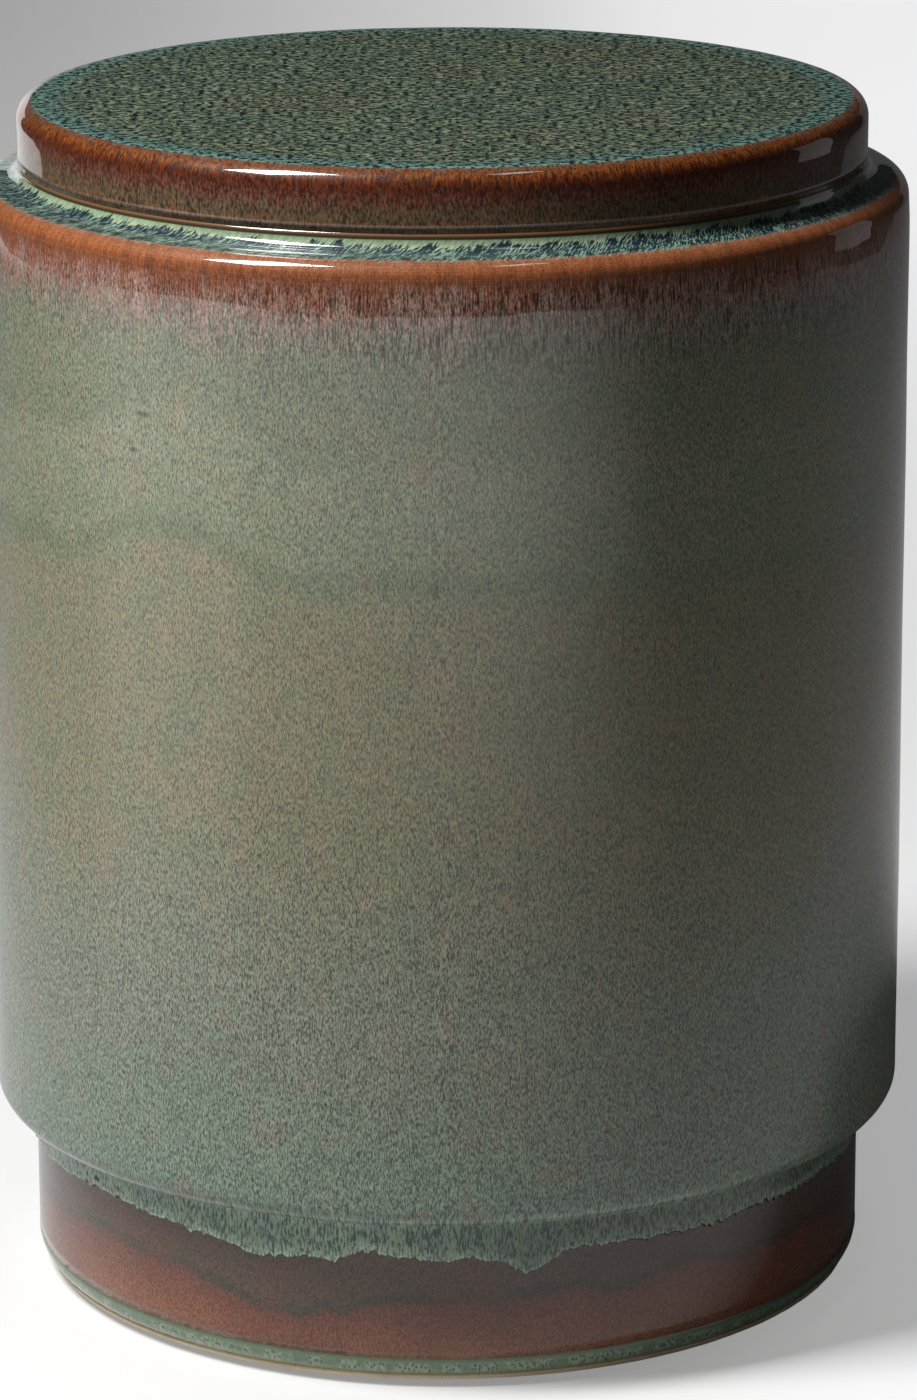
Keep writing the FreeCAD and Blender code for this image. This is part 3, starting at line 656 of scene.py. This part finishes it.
foot_finish, shader = new_finish("foot_glaze", 0.4)
glass_over(shader)
tree = foot_finish.node_tree
place, _, parts, _ = wrapped_place(tree, PLINTH, 1)
bubble = mottle(tree, place, 1.2 * MM, 2, 0.6)
pit_inputs = {"Vector": place, "Scale": 1 / (1.15 * MM)}
pit = add_node(tree, "ShaderNodeTexVoronoi", pit_inputs).outputs["Distance"]
cluster = mottle(tree, wrapped_place(tree, PLINTH, 0.2)[0], 6 * MM, 0, 0.5)
height = shift(tree, parts["Z"], bubble, 1.2 * MM)
foot_colour = bands(tree, height, [
    (0.0044, paint(206, 150, 84)),
    (0.0049, paint(140, 138, 88)),
    (0.0060, paint(122, 142, 114)),
    (0.0104, paint(116, 138, 110)),
    (0.0116, paint(98, 116, 84)),
    (0.0124, paint(70, 66, 42)),
    (0.0130, paint(92, 62, 42)),
])
middle = sums(tree, "MULTIPLY", fade(tree, parts["Z"], 0.0055, 0.0070),
              fade(tree, parts["Z"], 0.0110, 0.0095))
crowd = sums(tree, "MULTIPLY", middle, fade(tree, cluster, 0.40, 0.52))
# Painted highlight: a pale ring round each bubble in the crowds.
pit_highlight = sums(tree, "MULTIPLY", crowd, fade(tree, pit, 0.40, 0.60, 0, 0.4))
foot_colour = tint(tree, pit_highlight, foot_colour, paint(196, 208, 186))
pit_heart = sums(tree, "MULTIPLY", crowd, fade(tree, pit, 0.34, 0.18, 0, 0.85))
foot_colour = tint(tree, pit_heart, foot_colour, paint(30, 52, 50))
foot_colour = shade(tree, foot_colour, bubble, 0.3, 0.7, 0.85, 1.15)
tree.links.new(foot_colour, shader.inputs["Base Color"])
tree.links.new(relief(tree, bubble, 0.2 * MM), shader.inputs["Normal"])
finish_piece("foot_glaze_band", mesh, foot_finish, "foot_glaze", "foot_glaze")


# Bare rim. The clay bead at the plinth's lowest edge, wiped clean of glaze so that it wouldn't stick in the
# kiln. It shows as a thin cream line all round the foot.
RIM = foot_skin[-1][0]
RIM_DEPTH = 1.9
RIM_LAP = 0.05
# the bead's outline in millimetres: how far in from its widest ring, and how far above the foot
BEAD = [(RIM_DEPTH, RIM_LAP), (0.9, 0.1), (0.35, 0.4), (0.05, 0.9), (0, 1.5)]
rim_top = BARE_RIM_TOP + RIM_LAP * MM
rim_skin = [(RIM - inwards * MM, FOOT + up * MM) for inwards, up in BEAD] + [(RIM - RIM_LAP * MM, rim_top)]
mesh, is_skin = spin_coat(rim_skin, [(RIM - RIM_DEPTH * MM, rim_top)])
undulate(mesh, is_skin, [(0.12 * MM, 9 * MM, 9 * MM)])
finish_piece("bare_rim", mesh, stoneware, "stoneware")


# Felt pads. Brown wool felt discs, pressed flat and fuzzy at the cut edge, each stuck to the foot by a
# disc of clear adhesive.
felt, shader = new_finish("felt", 0.95)
tree = felt.node_tree
where = add_node(tree, "ShaderNodeTexCoord", {}).outputs["Object"]
fibre = mottle(tree, where, 0.35 * MM, 3, 0.7, warp=2)
blot = mottle(tree, where, 3 * MM, 2)
felt_colour = tint(tree, fade(tree, fibre, 0.35, 0.65), paint(58, 38, 26), paint(104, 72, 50))
felt_colour = tint(tree, fade(tree, blot, 0.4, 0.7, 0, 0.5), felt_colour, paint(82, 60, 44))
tree.links.new(felt_colour, shader.inputs["Base Color"])
tree.links.new(relief(tree, fibre, 0.2 * MM), shader.inputs["Normal"])
shader.inputs["Sheen Weight"].default_value = 0.4

adhesive, shader = new_finish("adhesive", 0.25)
tree = adhesive.node_tree
where = add_node(tree, "ShaderNodeTexCoord", {}).outputs["Object"]
gum = mottle(tree, where, 1.5 * MM, 2)
gum_colour = tint(tree, fade(tree, gum, 0.35, 0.7), paint(214, 204, 180), paint(190, 176, 146))
tree.links.new(gum_colour, shader.inputs["Base Color"])
tree.links.new(relief(tree, gum, 0.05 * MM), shader.inputs["Normal"])
for number in (1, 2, 3, 4):
    for node, finish in ((f"foot_pad_{number}", felt), (f"pad_adhesive_{number}", adhesive)):
        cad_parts[node].data.materials.clear()
        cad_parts[node].data.materials.append(finish)


# Studio. A white floor, round in front and swept up behind the stool, in a dark room. One soft box hangs
# high on the left, a small lamp overhead on the right, and a grey card stands far back on the right.
FLOOR_RADIUS = 2.3
FLOOR_BACK_HALF_WIDTH = 1.8
SWEEP_START = 3.1
SWEEP_RADIUS = 0.5
SWEEP_RISE = 0.45
mesh = bmesh.new()
rim_turn = math.degrees(math.asin(FLOOR_BACK_HALF_WIDTH / FLOOR_RADIUS))
rim = arc((0, 0), FLOOR_RADIUS, 90 + rim_turn, 450 - rim_turn, 72)
corners = [mesh.verts.new((side, back, 0)) for side, back in rim]
corners += [mesh.verts.new((side * FLOOR_BACK_HALF_WIDTH, SWEEP_START, 0)) for side in (1, -1)]
edges = [mesh.edges.new(side) for side in zip(corners, corners[1:] + corners[:1])]
bmesh.ops.contextual_create(mesh, geom=edges)
last_edge = edges[-2]
climb = [(SWEEP_RADIUS * math.sin(math.radians(turn)), SWEEP_RADIUS * (1 - math.cos(math.radians(turn))))
         for turn in range(0, 91, 6)] + [(SWEEP_RADIUS, SWEEP_RADIUS + SWEEP_RISE)]
for (back, up), (next_back, next_up) in zip(climb, climb[1:]):
    grown = bmesh.ops.extrude_edge_only(mesh, edges=[last_edge])["geom"]
    bmesh.ops.translate(mesh, verts=[piece for piece in grown if isinstance(piece, bmesh.types.BMVert)],
                        vec=(0, next_back - back, next_up - up))
    last_edge = [piece for piece in grown if isinstance(piece, bmesh.types.BMEdge)][0]
bmesh.ops.recalc_face_normals(mesh, faces=mesh.faces)
data = bpy.data.meshes.new("floor")
mesh.to_mesh(data)
mesh.free()
data.shade_smooth()
FLOOR_WHITE = (0.62, 0.62, 0.62, 1)
floor_finish, shader = new_finish("floor", 0.6)
tree = floor_finish.node_tree
shader.inputs["Specular IOR Level"].default_value = 0.2
shader.inputs["Emission Color"].default_value = (1, 1, 1, 1)
where = add_node(tree, "ShaderNodeTexCoord", {}).outputs["Object"]
parts = add_node(tree, "ShaderNodeSeparateXYZ", {"Vector": where}).outputs
rays = add_node(tree, "ShaderNodeLightPath", {}).outputs
away = add_node(tree, "ShaderNodeVectorMath", {0: where}, operation="LENGTH").outputs["Value"]

# What the floor throws up at the stool: less of it from farther off.
NEAR_WHITE = (0.58, 0.58, 0.58, 1)
FAR_WHITE = (0.36, 0.36, 0.36, 1)
bounce = tint(tree, fade(tree, away, 0.2, 0.45), NEAR_WHITE, FAR_WHITE)
floor_white = tint(tree, rays["Is Diffuse Ray"], FLOOR_WHITE, bounce)
tree.links.new(floor_white, shader.inputs["Base Color"])

# What the eye sees: a painted glow, seen by the camera alone, brightens the whole floor, more on the
# right where the stool's shadow falls, and most of all far back there.
far = sums(tree, "MULTIPLY", fade(tree, parts["Y"], 0.4, 2.6), fade(tree, parts["X"], -0.55, 0.40, 0, 0.40))
seen_glow = sums(tree, "ADD", far, fade(tree, parts["X"], 0.02, 0.2, 0.27, 0.38))
seen_glow = sums(tree, "MULTIPLY", rays["Is Camera Ray"], seen_glow)

# Painted reflections: a glow that only the glass's mirror rays see, on the floor out to the front left,
# in a bright strip further round to the left, and in a patch far back on the left. All three grow with
# the way from the stool.
bearing = add_node(tree, "ShaderNodeVectorMath", {0: where}, operation="NORMALIZE").outputs[0]
front_left = add_node(tree, "ShaderNodeVectorMath", {0: bearing, 1: (-0.5, -0.866, 0)},
                      operation="DOT_PRODUCT").outputs["Value"]
panel_reflection = add_node(tree, "ShaderNodeVectorMath", {0: bearing, 1: (-0.913, -0.407, 0)},
                  operation="DOT_PRODUCT").outputs["Value"]
front_left = sums(tree, "MULTIPLY", fade(tree, front_left, 0.1, 0.8),
                  fade(tree, away, 0.5, 1.7, 0.1, 1.05))
back_left = sums(tree, "MULTIPLY", fade(tree, parts["X"], -0.3, -0.9), fade(tree, parts["Y"], 0.3, 0.9))
back_left = sums(tree, "MULTIPLY", back_left, fade(tree, away, 2.1, 2.4, 0, 0.9))
panel_reflection = sums(tree, "MULTIPLY", fade(tree, panel_reflection, 0.90, 0.99), fade(tree, away, 0.35, 0.9, 0, 0.45))
painted_reflections = sums(tree, "ADD", sums(tree, "ADD", front_left, panel_reflection), back_left)
glow = sums(tree, "MULTIPLY_ADD", rays["Is Glossy Ray"], painted_reflections, seen_glow)
tree.links.new(glow, shader.inputs["Emission Strength"])
floor_finish.cycles.emission_sampling = "NONE"
data.materials.append(floor_finish)
floor = bpy.data.objects.new("floor", data)
bpy.context.scene.collection.objects.link(floor)


def soft_box(name, centre, aim, width, height, brightness):
    """A rectangular lamp. Brightness is the light that each spot of it sends out, in watts."""
    lamp = bpy.data.lights.new(name, "AREA")
    lamp.shape = "RECTANGLE"
    lamp.size = width
    lamp.size_y = height
    lamp.energy = brightness * math.pi * width * height
    box = bpy.data.objects.new(name, lamp)
    box.location = centre
    box.rotation_euler = (Vector(aim) - Vector(centre)).to_track_quat("-Z", "Y").to_euler()
    bpy.context.scene.collection.objects.link(box)


soft_box("key_light", (-0.80, -0.47, 1.69), (0, -0.1, 0.35), 0.38, 0.62, 58)
soft_box("top_light", (0.32, -0.24, 2.1), (0, -0.15, 0.45), 0.42, 0.12, 6)
soft_box("grey_card", (2.34, 1.14, 0.6), (0, 0, 0.4), 0.8, 1.2, 0.3)

world = bpy.data.worlds.new("dark_room")
bpy.context.scene.world = world
world.use_nodes = True
tree = world.node_tree
background = tree.nodes["Background"]
seen = add_node(tree, "ShaderNodeLightPath", {}).outputs["Is Camera Ray"]
room = tint(tree, seen, (0.012, 0.012, 0.012, 1), (0.56, 0.62, 0.62, 1))
tree.links.new(room, background.inputs["Color"])
